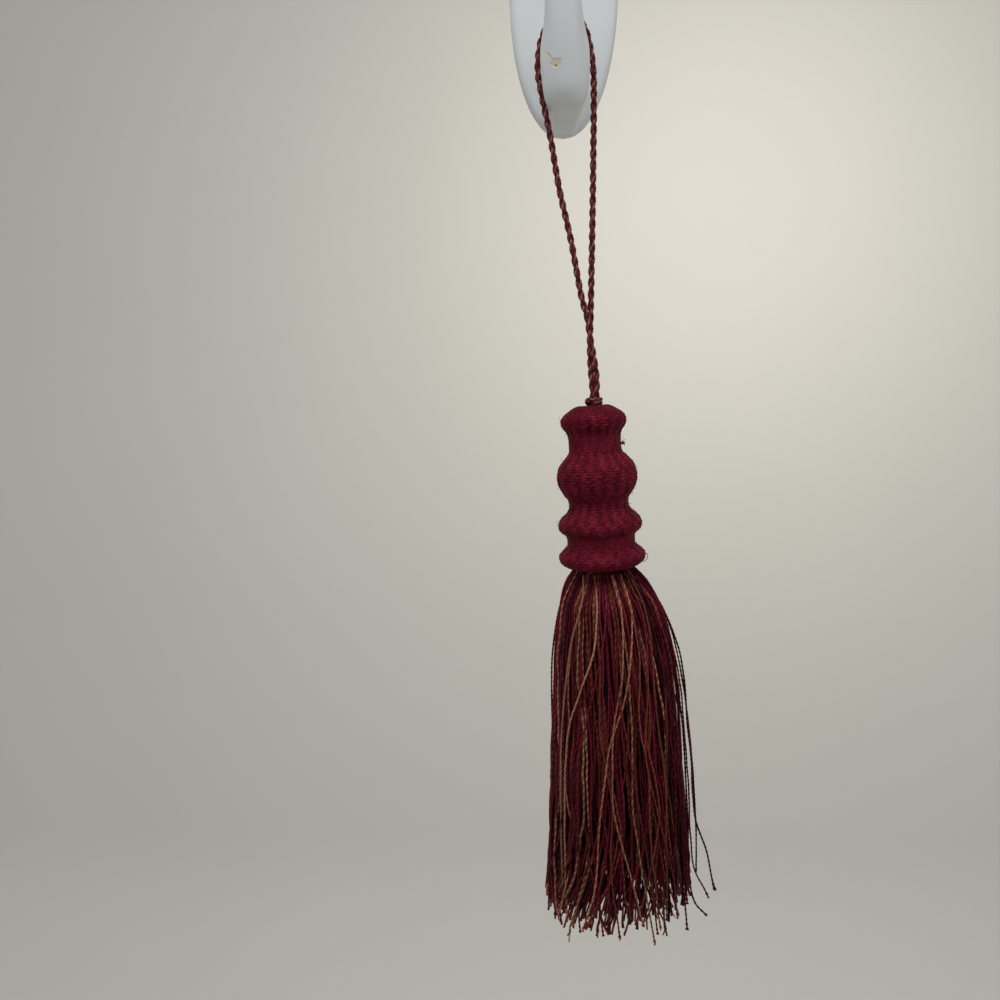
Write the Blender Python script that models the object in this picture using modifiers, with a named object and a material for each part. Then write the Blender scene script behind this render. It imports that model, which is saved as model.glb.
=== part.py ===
"""Drapery tassel on its hook.

A turned tassel head wound in crimson yarn, a round skirt of long cut strands
under it, and a loop of two-ply cord that rises from a small knot on the head's
crown and hangs over the arm of an oval-backed hook.

Frame: metres, +Z up.  The origin is the centre of the hook plate's flat back,
which faces +Y; the arm and the tassel stand out towards -Y.
The tassel hangs a few degrees off plumb, its foot towards +X.
"""
import math

import bmesh
import bpy
from mathutils import Matrix, Vector

MM = 0.001

# ---------------------------------------------------------------- hook plate
PLATE_WIDTH = 28.7 * MM
PLATE_HEIGHT = 75.6 * MM
PLATE_THICK = 3.2 * MM
PLATE_EDGE = 1.7 * MM          # rounding of the front rim
PLATE_SIDES = 64
PLATE_SQUARE = 2.12            # 2 is an ellipse, more is squarer

# ---------------------------------------------------------------- hook arm
# One row for each section of the cast arm, from its root in the plate to the
# tip.  Each section stands on the line from (out_top, z_top) to
# (out_low, z_low); out is the distance from the wall, square how square the
# section's lower half is (2 is an ellipse; the upper half is rounder), aside how
# far it stands to the right.
ARM_SECTIONS = [
    # name         out_top  z_top   out_low  z_low   width  square  aside
    ("root",         0.5,   -6.5,     0.5,  -36.9,   8.6,   5.0,    0.0),
    ("plate face",   3.2,   -8.0,     3.4,  -37.2,   8.9,   5.0,    0.0),
    ("gusset",       6.0,  -11.2,     7.5,  -36.9,   9.4,   4.6,    0.0),
    ("stem",         9.5,  -13.5,    12.5,  -36.3,  10.3,   4.2,    0.0),
    ("crook",       13.0,  -14.4,    18.6,  -36.2,  11.5,   3.6,   -0.1),
    ("elbow",       15.8,  -14.1,    22.4,  -34.2,  12.2,   2.5,   -0.3),
    ("heel",        17.4,  -12.7,    24.1,  -29.4,  10.8,   2.3,   -0.5),
    ("tongue low",  18.3,  -10.3,    25.6,  -22.4,   9.3,   2.4,   -0.75),
    ("tongue",      18.9,   -7.1,    26.6,  -14.8,   8.5,   2.6,   -1.0),
    ("tongue mid",  19.5,   -3.3,    27.0,   -7.9,   8.2,   2.6,   -1.1),
    ("tongue top",  20.3,    1.2,    27.4,   -0.6,   8.5,   2.6,   -1.1),
    ("tip swell",   21.3,    5.6,    27.9,    5.4,   9.1,   2.5,   -1.1),
    ("tip",         22.5,    8.9,    27.9,    9.4,   7.8,   2.4,   -1.1),
    ("tip end",     24.0,   10.8,    26.9,   11.1,   4.2,   2.3,   -1.1),
]
ARM_POINTS = 20                # points round each section
ARM_CROWN = 2.1                # squareness of every section's upper half

# ---------------------------------------------------------------- tassel axis
HEAD_TOP = Vector((6.98 * MM, -20.5 * MM, -109.13 * MM))
LEAN = math.radians(4.2)       # the foot swings towards +X
ALONG = Vector((math.sin(LEAN), 0.0, -math.cos(LEAN)))   # down the tassel
ACROSS = Vector((math.cos(LEAN), 0.0, math.sin(LEAN)))   # to its right
DEPTH = Vector((0.0, 1.0, 0.0))                          # towards the wall

# ---------------------------------------------------------------- head
# Turned outline of the wound head, top to bottom: s is the distance down the
# axis from the crown, r the radius.
HEAD_OUTLINE = [
    # name            s      r
    ("crown edge",   0.15,  4.2),
    ("shoulder",     1.75,  7.0),
    ("cap high",     2.80,  8.05),
    ("cap",          3.80,  8.4),
    ("cap low",      5.30,  8.1),
    ("cap foot",     6.80,  7.1),
    ("neck one",     8.40,  6.75),
    ("neck one low",11.80,  6.85),
    ("ball rise",   13.30,  7.9),
    ("ball high",   15.20,  9.45),
    ("ball",        17.00, 10.15),
    ("ball belly",  18.50, 10.35),
    ("ball lower",  20.20, 10.1),
    ("ball fall",   22.20,  9.15),
    ("ball foot",   24.00,  8.0),
    ("neck two",    25.20,  7.65),
    ("neck two low",26.40,  7.8),
    ("flare root",  27.70,  8.55),
    ("flare",       28.80,  9.85),
    ("flare rim",   30.00, 10.6),
    ("flare lip",   31.20, 10.9),
    ("flare low",   32.30, 10.35),
    ("flare under", 33.20,  9.35),
    ("neck three",  34.20,  8.85),
    ("neck 3 low",  36.40,  8.9),
    ("flange top",  37.40,  9.9),
    ("flange rim",  38.60, 11.1),
    ("flange edge", 39.80, 11.25),
    ("flange low",  40.90, 10.6),
    ("flange foot", 41.80,  9.4),
]
HEAD_STEPS = 48

# ---------------------------------------------------------------- skirt
# Mean outline of the skirt: s down the axis, r the mean radius, shift the
# sideways drift of its centre (+ to the right), lock the depth of the furrows
# between neighbouring locks of strands.
SKIRT_SECTIONS = [
    #  s      r     shift  lock
    ( 42.3,   7.9,  0.1,   0.10),
    ( 44.4,   9.7,  0.2,   0.15),
    ( 47.0,  11.4,  0.5,   0.20),
    ( 51.0,  13.0,  0.9,   0.28),
    ( 57.0,  14.6,  1.3,   0.40),
    ( 65.0,  16.3,  1.6,   0.50),
    ( 74.0,  17.2,  1.8,   0.60),
    ( 84.0,  18.0,  1.7,   0.70),
    ( 95.0,  18.9,  1.4,   0.85),
    (105.0,  19.5,  1.2,   1.00),
    (114.0,  19.9,  0.9,   1.25),
    (121.0,  20.1,  0.6,   1.60),
    (127.0,  20.2,  0.4,   2.10),
    (132.0,  20.3,  0.2,   2.60),
]
SKIRT_LOCKS = 26               # locks round the skirt
SKIRT_PER_LOCK = 4             # points round each lock
TIP_MEAN = 132.5               # where the lock tips end, in mm down the axis
TIP_UNEVEN = 2.3               # how far the tips vary either way
NOTCH_MEAN = 8.5               # how far the comb's notches run up from the tips
NOTCH_UNEVEN = 3.0
FORWARD = 6.0                  # how far the foot's left side is pressed forward, mm
FOOT_RINGS = [
    # share of radius, s of the ring of strand ends under the skirt
    (0.80, 131.0),
    (0.45, 132.6),
]
FOOT_CENTRE = 132.2

# ---------------------------------------------------------------- cord loop
CORD_DIAMETER = 1.6 * MM
CORD_STEP = 4.0 * MM           # distance between the tube's points, 2.5 diameters
# Route of the loop: from the knot up the right leg, over the arm, and down
# the left leg, which crosses in front of the right one just above the knot.
CORD_ROUTE = [
    # place            x       y        z
    ("right foot",    7.00,  -19.60, -106.75),
    ("right 1",       6.62,  -19.40, -102.8),
    ("right 2",       6.45,  -19.10,  -98.5),
    ("right 3",       6.42,  -18.75,  -93.5),
    ("right 4",       6.60,  -18.35,  -86.5),
    ("right 5",       6.65,  -18.15,  -77.5),
    ("right 6",       6.90,  -17.20,  -60.2),
    ("right 7",       7.02,  -16.40,  -47.0),
    ("right 8",       7.10,  -15.60,  -35.0),
    ("arm right",     6.95,  -14.90,  -26.0),
    ("arm right up",  5.95,  -14.45,  -19.6),
    ("over right",    4.60,  -14.20,  -15.5),
    ("over high r",   2.50,  -14.15,  -13.55),
    ("saddle",       -0.05,  -14.15,  -13.00),
    ("over high l",  -2.60,  -14.15,  -13.55),
    ("over left",    -4.75,  -14.20,  -15.5),
    ("arm left up",  -6.40,  -14.45,  -19.8),
    ("arm left",     -7.05,  -14.90,  -26.0),
    ("left 8",       -5.98,  -15.35,  -32.5),
    ("left 7",       -3.95,  -16.00,  -41.6),
    ("left 6",       -1.50,  -17.00,  -55.0),
    ("left 5",        1.30,  -18.00,  -67.1),
    ("left 4",        4.00,  -19.35,  -81.3),
    ("left 3",        5.50,  -20.00,  -87.3),
    ("left 2",        6.75,  -20.55,  -93.0),
    ("left 1",        7.75,  -20.80,  -99.0),
    ("left bend",     8.30,  -21.05, -103.2),
    ("left foot",     8.20,  -21.15, -106.6),
]

# ---------------------------------------------------------------- knot
KNOT_RING = 1.28 * MM          # radius of the ring the knotted cord makes
KNOT_CORD = 0.85 * MM          # radius of the cord in it
KNOT_LIFT = 1.17 * MM          # height of its middle above the crown

COLOURS = {
    # node           colour                    rough  metal
    "hook":        ((0.78, 0.78, 0.76, 1.0),   0.35,  0.0),
    "cord_loop":   ((0.16, 0.035, 0.04, 1.0),  0.70,  0.0),
    "cord_knot":   ((0.16, 0.035, 0.04, 1.0),  0.70,  0.0),
    "head":        ((0.21, 0.010, 0.035, 1.0), 0.60,  0.0),
    "skirt":       ((0.17, 0.022, 0.025, 1.0), 0.75,  0.0),
}


# =============================================================== helpers
def clear_scene():
    for obj in list(bpy.data.objects):
        bpy.data.objects.remove(obj, do_unlink=True)


def collection(name):
    made = bpy.data.collections.new(name)
    bpy.context.scene.collection.children.link(made)
    return made


def material(name):
    colour, rough, metal = COLOURS[name]
    mat = bpy.data.materials.new(name)
    mat.use_nodes = True
    shader = mat.node_tree.nodes["Principled BSDF"]
    shader.inputs["Base Color"].default_value = colour
    shader.inputs["Roughness"].default_value = rough
    shader.inputs["Metallic"].default_value = metal
    mat.diffuse_color = colour
    return mat


def add_mesh(name, bm, home):
    mesh = bpy.data.meshes.new(name)
    bm.to_mesh(mesh)
    bm.free()
    obj = bpy.data.objects.new(name, mesh)
    home.objects.link(obj)
    return obj


def on_tassel(s, side, deep):
    """World point s down the tassel, side to its right, deep towards the wall."""
    return HEAD_TOP + ALONG * s + ACROSS * side + DEPTH * deep


def tassel_matrix():
    """Local -Z runs down the tassel, local X to its right."""
    return Matrix.Translation(HEAD_TOP) @ Matrix.Rotation(-LEAN, 4, "Y")


def read_table(rows, s, column):
    """Straight-line reading of a column of a table whose first column is s."""
    if s <= rows[0][0]:
        return rows[0][column]
    for a, b in zip(rows, rows[1:]):
        if s <= b[0]:
            t = (s - a[0]) / (b[0] - a[0])
            return a[column] + (b[column] - a[column]) * t
    return rows[-1][column]


def smooth_points(route, step):
    """Even points along a smooth curve (Catmull-Rom) through the route."""
    ends = [route[0] * 2 - route[1]] + list(route) + [route[-1] * 2 - route[-2]]
    fine = []
    for a, b, c, d in zip(ends, ends[1:], ends[2:], ends[3:]):
        for i in range(24):
            t = i / 24
            fine.append(0.5 * ((2 * b) + (c - a) * t
                               + (2 * a - 5 * b + 4 * c - d) * t * t
                               + (3 * b - a - 3 * c + d) * t * t * t))
    fine.append(route[-1])
    reach = [0.0]
    for a, b in zip(fine, fine[1:]):
        reach.append(reach[-1] + (b - a).length)
    count = max(2, round(reach[-1] / step))
    out, k = [], 0
    for i in range(count + 1):
        want = reach[-1] * i / count
        while k < len(reach) - 2 and reach[k + 1] < want:
            k += 1
        span = reach[k + 1] - reach[k]
        t = (want - reach[k]) / span if span else 0.0
        out.append(fine[k].lerp(fine[k + 1], min(1.0, t)))
    return out


# =============================================================== hook
def build_arm(guides):
    """The cast arm: a loft of rounded sections from the plate to the tip."""
    bm = bmesh.new()
    rings = []
    for _, out_top, z_top, out_low, z_low, width, square, aside in ARM_SECTIONS:
        top = Vector((0, -out_top * MM, z_top * MM))
        low = Vector((0, -out_low * MM, z_low * MM))
        middle, half = (top + low) / 2, (top - low) / 2
        ring = []
        for i in range(ARM_POINTS):
            a = 2 * math.pi * i / ARM_POINTS
            c, s = math.cos(a), math.sin(a)
            power = 2 / (square if s < 0 else ARM_CROWN)
            x = (math.copysign(abs(c) ** power, c) * width / 2 + aside) * MM
            h = math.copysign(abs(s) ** power, s)
            ring.append(bm.verts.new(middle + half * h + Vector((x, 0, 0))))
        rings.append(ring)
    for a, b in zip(rings, rings[1:]):
        for i in range(ARM_POINTS):
            j = (i + 1) % ARM_POINTS
            bm.faces.new((a[i], a[j], b[j], b[i]))
    bm.faces.new(rings[0])
    bm.faces.new(list(reversed(rings[-1])))
    bmesh.ops.recalc_face_normals(bm, faces=bm.faces[:])
    arm = add_mesh("arm_form", bm, guides)
    soften = arm.modifiers.new("soften", "SUBSURF")
    soften.levels = soften.render_levels = 1
    soften.boundary_smooth = "PRESERVE_CORNERS"
    arm.hide_render = True
    arm.display_type = "WIRE"
    return arm


def build_hook(home, guides):
    bm = bmesh.new()
    bmesh.ops.create_cone(bm, cap_ends=True, segments=PLATE_SIDES,
                          radius1=0.5, radius2=0.5, depth=1.0)
    for v in bm.verts:         # the oval is a little fuller than an ellipse
        fuller = sum((abs(c) * 2) ** PLATE_SQUARE for c in v.co.xy) ** (-1 / PLATE_SQUARE)
        v.co.x *= fuller
        v.co.y *= fuller
    # an upright oval with its back on y = 0
    bmesh.ops.scale(bm, vec=(PLATE_WIDTH, PLATE_HEIGHT, PLATE_THICK), verts=bm.verts)
    bmesh.ops.rotate(bm, cent=(0, 0, 0), matrix=Matrix.Rotation(math.radians(90), 3, "X"),
                     verts=bm.verts)
    bmesh.ops.translate(bm, vec=(0, -PLATE_THICK / 2, 0), verts=bm.verts)
    front = [e for e in bm.edges
             if all(v.co.y < -PLATE_THICK * 0.9 for v in e.verts)
             and any(abs(f.normal.y) < 0.5 for f in e.link_faces)]
    bmesh.ops.bevel(bm, geom=front, offset=PLATE_EDGE, segments=4, profile=0.5,
                    affect="EDGES")
    hook = add_mesh("hook", bm, home)
    join = hook.modifiers.new("arm", "BOOLEAN")
    join.operation = "UNION"
    join.solver = "EXACT"
    join.object = build_arm(guides)
    hook.data.shade_smooth()
    hook.data.set_sharp_from_angle(angle=math.radians(40))
    return hook


# =============================================================== head
def build_head(home):
    """Turned solid: the outline runs from the crown down to the flange."""
    bm = bmesh.new()
    last = bm.verts.new((0, 0, 0))
    for _, s, r in HEAD_OUTLINE:
        here = bm.verts.new((r * MM, 0, -s * MM))
        bm.edges.new((last, here))
        last = here
    foot = bm.verts.new((0, 0, -HEAD_OUTLINE[-1][1] * MM))
    bm.edges.new((last, foot))
    head = add_mesh("head", bm, home)
    turn = head.modifiers.new("turn", "SCREW")
    turn.axis = "Z"
    turn.angle = 2 * math.pi
    turn.steps = turn.render_steps = HEAD_STEPS
    turn.use_merge_vertices = True
    turn.merge_threshold = 0.00005
    turn.use_smooth_shade = True
    head.matrix_world = tassel_matrix()
    return head


# =============================================================== skirt
def lock_tip(lock):
    """How far down the axis a lock ends, in mm."""
    return TIP_MEAN + TIP_UNEVEN * (0.62 * math.sin(2.31 * lock + 0.4)
                                    + 0.38 * math.sin(5.13 * lock + 1.1))


def lock_notch(lock):
    """Length of the notch between a lock and the next, in mm."""
    return NOTCH_MEAN + NOTCH_UNEVEN * math.sin(3.7 * lock + 0.8)


def lock_angle(lock):
    """Where the notch before a lock stands round the skirt."""
    return 2 * math.pi * (lock + 0.22 * math.sin(1.9 * lock + 0.5)) / SKIRT_LOCKS


def pressed(s, side, r):
    """How far the skirt's left side is pushed forward at this height, in mm."""
    grown = min(1.0, max(0.0, (s - 60.0) / 72.0))
    return FORWARD * grown * max(0.0, -side / r) ** 1.3


def build_skirt(home):
    """A bell of strands whose lower edge is one uneven comb of locks."""
    points = []                # for each point round: angle, crest 0..1, end s
    for lock in range(SKIRT_LOCKS):
        a0 = lock_angle(lock)
        a1 = lock_angle(lock + 1) if lock + 1 < SKIRT_LOCKS else lock_angle(0) + 2 * math.pi
        tip = lock_tip(lock)
        before = min(lock_tip((lock - 1) % SKIRT_LOCKS), tip) - lock_notch((lock - 1) % SKIRT_LOCKS)
        for k in range(SKIRT_PER_LOCK):
            t = k / SKIRT_PER_LOCK
            crest = math.sin(math.pi * t) ** 0.6
            end = before if k == 0 else tip - 1.6 * (1.0 - crest)
            points.append((a0 + (a1 - a0) * t, crest, end))
    top = SKIRT_SECTIONS[0][0]
    deep = SKIRT_SECTIONS[-1][0]
    bm = bmesh.new()
    rings = []
    for row in SKIRT_SECTIONS:
        share = (row[0] - top) / (deep - top)
        ring = []
        for angle, crest, end in points:
            s = top + (end - top) * share
            r = read_table(SKIRT_SECTIONS, s, 1)
            shift = read_table(SKIRT_SECTIONS, s, 2)
            furrow = read_table(SKIRT_SECTIONS, max(s, row[0] - 4.0), 3)
            r -= furrow * (1.0 - crest)
            side = shift + r * math.cos(angle)
            inward = r * math.sin(angle) - pressed(s, side, r)
            ring.append(bm.verts.new(on_tassel(s * MM, side * MM, inward * MM)))
        rings.append(ring)
    for share, s_foot in FOOT_RINGS:
        ring = []
        for angle, crest, end in points:
            r = SKIRT_SECTIONS[-1][1] * share
            s = s_foot - 0.25 * (TIP_MEAN - end) * share
            side = r * math.cos(angle)
            inward = r * math.sin(angle) - pressed(s, side, SKIRT_SECTIONS[-1][1])
            ring.append(bm.verts.new(on_tassel(s * MM, side * MM, inward * MM)))
        rings.append(ring)
    for a, b in zip(rings, rings[1:]):
        for i in range(len(points)):
            j = (i + 1) % len(points)
            bm.faces.new((a[i], a[j], b[j], b[i]))
    for ring, s_hub in ((rings[0], top), (rings[-1], FOOT_CENTRE)):
        hub = bm.verts.new(on_tassel(s_hub * MM, 0.0, 0.0))
        for i in range(len(points)):
            bm.faces.new((ring[i], ring[(i + 1) % len(points)], hub))
    bmesh.ops.recalc_face_normals(bm, faces=bm.faces[:])
    skirt = add_mesh("skirt", bm, home)
    skirt.data.shade_smooth()
    skirt.data.set_sharp_from_angle(angle=math.radians(55))
    return skirt


# =============================================================== cord and knot
def build_cord(home):
    """The hanging loop: a plain tube along the cord's route."""
    route = [Vector((x, y, z)) * MM for _, x, y, z in CORD_ROUTE]
    points = smooth_points(route, CORD_STEP)
    curve = bpy.data.curves.new("cord_loop", "CURVE")
    curve.dimensions = "3D"
    curve.bevel_depth = CORD_DIAMETER / 2
    curve.bevel_resolution = 2
    curve.use_fill_caps = True
    spline = curve.splines.new("POLY")
    spline.points.add(len(points) - 1)
    for p, co in zip(spline.points, points):
        p.co = (co.x, co.y, co.z, 1.0)
    cord = bpy.data.objects.new("cord_loop", curve)
    home.objects.link(cord)
    return cord


def build_knot(home):
    """The small knot the loop makes on the crown."""
    bpy.ops.mesh.primitive_torus_add(major_segments=22, minor_segments=10,
                                     major_radius=KNOT_RING, minor_radius=KNOT_CORD)
    knot = bpy.context.object
    knot.name = knot.data.name = "cord_knot"
    for owner in list(knot.users_collection):
        owner.objects.unlink(knot)
    home.objects.link(knot)
    knot.matrix_world = tassel_matrix() @ Matrix.Translation((0, 0, KNOT_LIFT))
    knot.data.shade_smooth()
    return knot


def main():
    clear_scene()
    parts = collection("drapery_tassel_and_hook")
    guides = collection("guides")
    made = [build_hook(parts, guides), build_head(parts), build_skirt(parts),
            build_cord(parts), build_knot(parts)]
    for obj in made:
        obj.data.materials.clear()
        obj.data.materials.append(material(obj.name))


main()
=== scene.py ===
"""Looks of the drapery tassel on its hook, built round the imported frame."""

import math

import bmesh
import bpy
import numpy as np
from mathutils import Matrix, Vector


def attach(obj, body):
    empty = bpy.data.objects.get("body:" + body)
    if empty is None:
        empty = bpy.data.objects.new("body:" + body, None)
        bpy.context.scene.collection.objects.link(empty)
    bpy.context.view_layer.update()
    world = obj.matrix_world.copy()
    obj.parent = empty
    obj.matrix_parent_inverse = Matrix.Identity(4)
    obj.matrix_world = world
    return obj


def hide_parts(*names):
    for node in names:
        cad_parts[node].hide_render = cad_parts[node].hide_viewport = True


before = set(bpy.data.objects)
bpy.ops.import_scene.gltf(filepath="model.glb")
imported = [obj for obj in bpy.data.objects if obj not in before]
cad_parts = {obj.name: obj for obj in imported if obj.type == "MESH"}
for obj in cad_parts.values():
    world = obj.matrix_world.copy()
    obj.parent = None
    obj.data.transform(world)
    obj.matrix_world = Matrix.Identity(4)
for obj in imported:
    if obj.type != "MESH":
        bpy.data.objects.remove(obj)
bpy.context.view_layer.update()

MM = 0.001
TAU = 2 * math.pi
scene = bpy.context.scene
scene.view_settings.view_transform = "Standard"
scene.view_settings.look = "None"

# ------------------------------------------------------------------ camera
CAM_PLACE = Vector((-8.17 * MM, -220.5 * MM, -107.62 * MM))
CAM_PITCH = math.radians(7.42)      # looks a little down
CAM_YAW = math.radians(2.5)         # and a little to the left
CAM_ROLL = math.radians(0.4)
cam_data = bpy.data.cameras.new("camera")
cam_data.sensor_fit = "HORIZONTAL"
cam_data.sensor_width = 36.0
cam_data.lens = 27.72
cam_data.clip_start = 0.005
cam_data.clip_end = 20.0
camera = bpy.data.objects.new("camera", cam_data)
scene.collection.objects.link(camera)
ahead = Vector((-math.sin(CAM_YAW) * math.cos(CAM_PITCH),
                math.cos(CAM_YAW) * math.cos(CAM_PITCH), -math.sin(CAM_PITCH)))
right = ahead.cross(Vector((0, 0, 1))).normalized()
above = right.cross(ahead)
cam_x = right * math.cos(CAM_ROLL) - above * math.sin(CAM_ROLL)
cam_y = right * math.sin(CAM_ROLL) + above * math.cos(CAM_ROLL)
camera.matrix_world = Matrix((
    (cam_x.x, cam_y.x, -ahead.x, CAM_PLACE.x),
    (cam_x.y, cam_y.y, -ahead.y, CAM_PLACE.y),
    (cam_x.z, cam_y.z, -ahead.z, CAM_PLACE.z),
    (0, 0, 0, 1)))
scene.camera = camera

# ------------------------------------------------------------------ tassel axis, as in the CAD
HEAD_TOP = np.array((6.98, -20.5, -109.13)) * MM
LEAN = math.radians(4.2)
ALONG = np.array((math.sin(LEAN), 0.0, -math.cos(LEAN)))
ACROSS = np.array((math.cos(LEAN), 0.0, math.sin(LEAN)))
DEPTH = np.array((0.0, 1.0, 0.0))


def on_tassel(s, side, deep):
    """World points, from mm down the axis, mm to the right and mm towards the wall."""
    s, side, deep = (np.asarray(v, float)[..., None] * MM for v in (s, side, deep))
    return HEAD_TOP + ALONG * s + ACROSS * side + DEPTH * deep


# ------------------------------------------------------------------ helpers
def catmull(rows, per=16):
    """Smooth curve through the rows of an array."""
    p = np.asarray(rows, float)
    p = np.vstack((2 * p[0] - p[1], p, 2 * p[-1] - p[-2]))
    out = []
    t = (np.arange(per) / per)[:, None]
    for a, b, c, d in zip(p, p[1:], p[2:], p[3:]):
        out.append(0.5 * (2 * b + (c - a) * t + (2 * a - 5 * b + 4 * c - d) * t ** 2
                          + (3 * b - a - 3 * c + d) * t ** 3))
    out.append(p[-2][None])
    return np.vstack(out)


def reach_of(points):
    return np.concatenate(([0.0], np.cumsum(np.linalg.norm(np.diff(points, axis=0), axis=1))))


def even(points, step):
    """The same line with points an even step apart."""
    reach = reach_of(points)
    count = max(2, int(round(reach[-1] / step)))
    want = np.linspace(0, reach[-1], count + 1)
    return np.stack([np.interp(want, reach, points[:, k]) for k in range(points.shape[1])], axis=1)


def unit(v):
    return v / np.maximum(np.linalg.norm(v, axis=-1, keepdims=True), 1e-12)


def carried_frames(points):
    """Tangent and two sides along a line, carried without twist."""
    tangent = unit(np.gradient(points, axis=0))
    side = np.zeros_like(points)
    start = np.cross(tangent[0], (0.3, 0.9, 0.1))
    side[0] = start / np.linalg.norm(start)
    for i in range(1, len(points)):
        v = side[i - 1] - tangent[i] * np.dot(side[i - 1], tangent[i])
        side[i] = v / np.linalg.norm(v)
    return tangent, side, np.cross(tangent, side)


class Stack:
    """Gathers rings of points into one mesh, with a colour and a ply coordinate each."""

    def __init__(self):
        self.v, self.tint, self.tint_b, self.ply = [], [], [], []
        self.loops, self.sizes = [], []
        self.count = 0

    def tubes(self, rings, tint, along, close=True, tint_b=None):
        """rings: tubes x sections x sides x 3; tint and tint_b: a colour for each ply."""
        n, m, k, _ = rings.shape
        base = self.count + np.arange(n)[:, None, None] * (m * k)
        i = np.arange(m - 1)[None, :, None] * k
        a = np.arange(k)[None, None, :]
        b = (a + 1) % k
        quads = np.stack((base + i + a, base + i + b, base + i + k + b, base + i + k + a), axis=-1)
        self.loops.append(quads.reshape(-1))
        self.sizes.append(np.full(n * (m - 1) * k, 4))
        if close:
            first = base[:, :, 0] + np.arange(k)[None, ::-1]
            last = base[:, :, 0] + (m - 1) * k + np.arange(k)[None, :]
            self.loops.append(np.concatenate((first, last), axis=1).reshape(-1))
            self.sizes.append(np.full(2 * n, k))
        self.v.append(rings.reshape(-1, 3))
        self.tint.append(np.broadcast_to(tint, (n, m, k, 3)).reshape(-1, 3))
        self.tint_b.append(np.broadcast_to(tint if tint_b is None else tint_b, (n, m, k, 3)).reshape(-1, 3))
        ang = np.broadcast_to(np.arange(k) / k * TAU, (n, m, k))
        al = np.broadcast_to(np.asarray(along)[..., None], (n, m, k))
        self.ply.append(np.stack((np.cos(ang), np.sin(ang), al), axis=-1).reshape(-1, 3))
        self.count += n * m * k

    def surface(self, grid, tint, ply, loop=True):
        """grid: rows x columns x 3, closed round the columns."""
        m, k, _ = grid.shape
        i = np.arange(m - 1)[:, None] * k
        a = np.arange(k if loop else k - 1)[None, :]
        b = (a + 1) % k
        quads = np.stack((self.count + i + a, self.count + i + b,
                          self.count + i + k + b, self.count + i + k + a), axis=-1)
        self.loops.append(quads.reshape(-1))
        self.sizes.append(np.full(quads.shape[0] * quads.shape[1], 4))
        self.v.append(grid.reshape(-1, 3))
        self.tint.append(tint.reshape(-1, 3))
        self.tint_b.append(tint.reshape(-1, 3))
        self.ply.append(ply.reshape(-1, 3))
        self.count += m * k

    def fans(self, faces):
        """Extra faces, as lists of point numbers."""
        for f in faces:
            self.loops.append(np.asarray(f))
            self.sizes.append(np.array([len(f)]))

    def build(self, name, mat, flip=False):
        v = np.concatenate(self.v)
        loops = np.concatenate(self.loops).astype(np.int32)
        sizes = np.concatenate(self.sizes).astype(np.int32)
        starts = np.concatenate(([0], np.cumsum(sizes)[:-1])).astype(np.int32)
        mesh = bpy.data.meshes.new(name)
        mesh.vertices.add(len(v))
        mesh.vertices.foreach_set("co", v.astype(np.float32).ravel())
        mesh.loops.add(len(loops))
        mesh.loops.foreach_set("vertex_index", loops)
        mesh.polygons.add(len(sizes))
        mesh.polygons.foreach_set("loop_start", starts)
        mesh.update(calc_edges=True)
        mesh.validate()
        if flip:
            mesh.flip_normals()
        for label, rows in (("tint", self.tint), ("tint_b", self.tint_b)):
            colour = mesh.attributes.new(label, "FLOAT_COLOR", "POINT")
            tint = np.concatenate(rows)
            colour.data.foreach_set("color", np.hstack((tint, np.ones((len(tint), 1)))).astype(np.float32).ravel())
        ply = mesh.attributes.new("ply", "FLOAT_VECTOR", "POINT")
        ply.data.foreach_set("vector", np.concatenate(self.ply).astype(np.float32).ravel())
        mesh.polygons.foreach_set("use_smooth", np.ones(len(sizes), bool))
        mesh.materials.append(mat)
        obj = bpy.data.objects.new(name, mesh)
        scene.collection.objects.link(obj)
        return obj


def rgb(r, g, b):
    """Linear colour of an 8-bit one."""
    c = np.array((r, g, b), float) / 255
    return np.where(c <= 0.04045, c / 12.92, ((c + 0.055) / 1.055) ** 2.4)


def waves(rng, x, amount, longest, shortest, count=5):
    """Smooth random waver along x, one row for each of amount lines."""
    out = np.zeros((amount, len(x)))
    lengths = np.geomspace(longest, shortest, count)
    for length in lengths:
        phase = rng.uniform(0, TAU, (amount, 1))
        weight = rng.normal(0, 1, (amount, 1)) * (length / longest) ** 0.9
        out += weight * np.sin(x[None, :] / length * TAU + phase)
    return out


# ------------------------------------------------------------------ materials
def new_material(name):
    mat = bpy.data.materials.new(name)
    mat.use_nodes = True
    nt = mat.node_tree
    shader = nt.nodes["Principled BSDF"]
    return mat, nt, shader


def node(nt, kind, **values):
    n = nt.nodes.new(kind)
    for key, value in values.items():
        setattr(n, key, value)
    return n


def calc(nt, operation, a, b=None):
    n = nt.nodes.new("ShaderNodeMath")
    n.operation = operation
    for socket, value in zip(n.inputs, (a, b)):
        if value is None:
            continue
        if isinstance(value, (int, float)):
            socket.default_value = value
        else:
            nt.links.new(value, socket)
    return n.outputs[0]


def mix_colour(nt, share, a, b, blend="MIX"):
    n = nt.nodes.new("ShaderNodeMix")
    n.data_type = "RGBA"
    n.blend_type = blend
    for socket, value in ((n.inputs["Factor"], share), (n.inputs["A"], a), (n.inputs["B"], b)):
        if isinstance(value, (int, float)):
            socket.default_value = value
        elif isinstance(value, (tuple, list, np.ndarray)):
            socket.default_value = (*[float(x) for x in value][:3], 1.0)
        else:
            nt.links.new(value, socket)
    return n.outputs["Result"]


def colour_socket(nt, n):
    return [s for s in n.inputs if s.type == "RGBA" and s.enabled]


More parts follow.
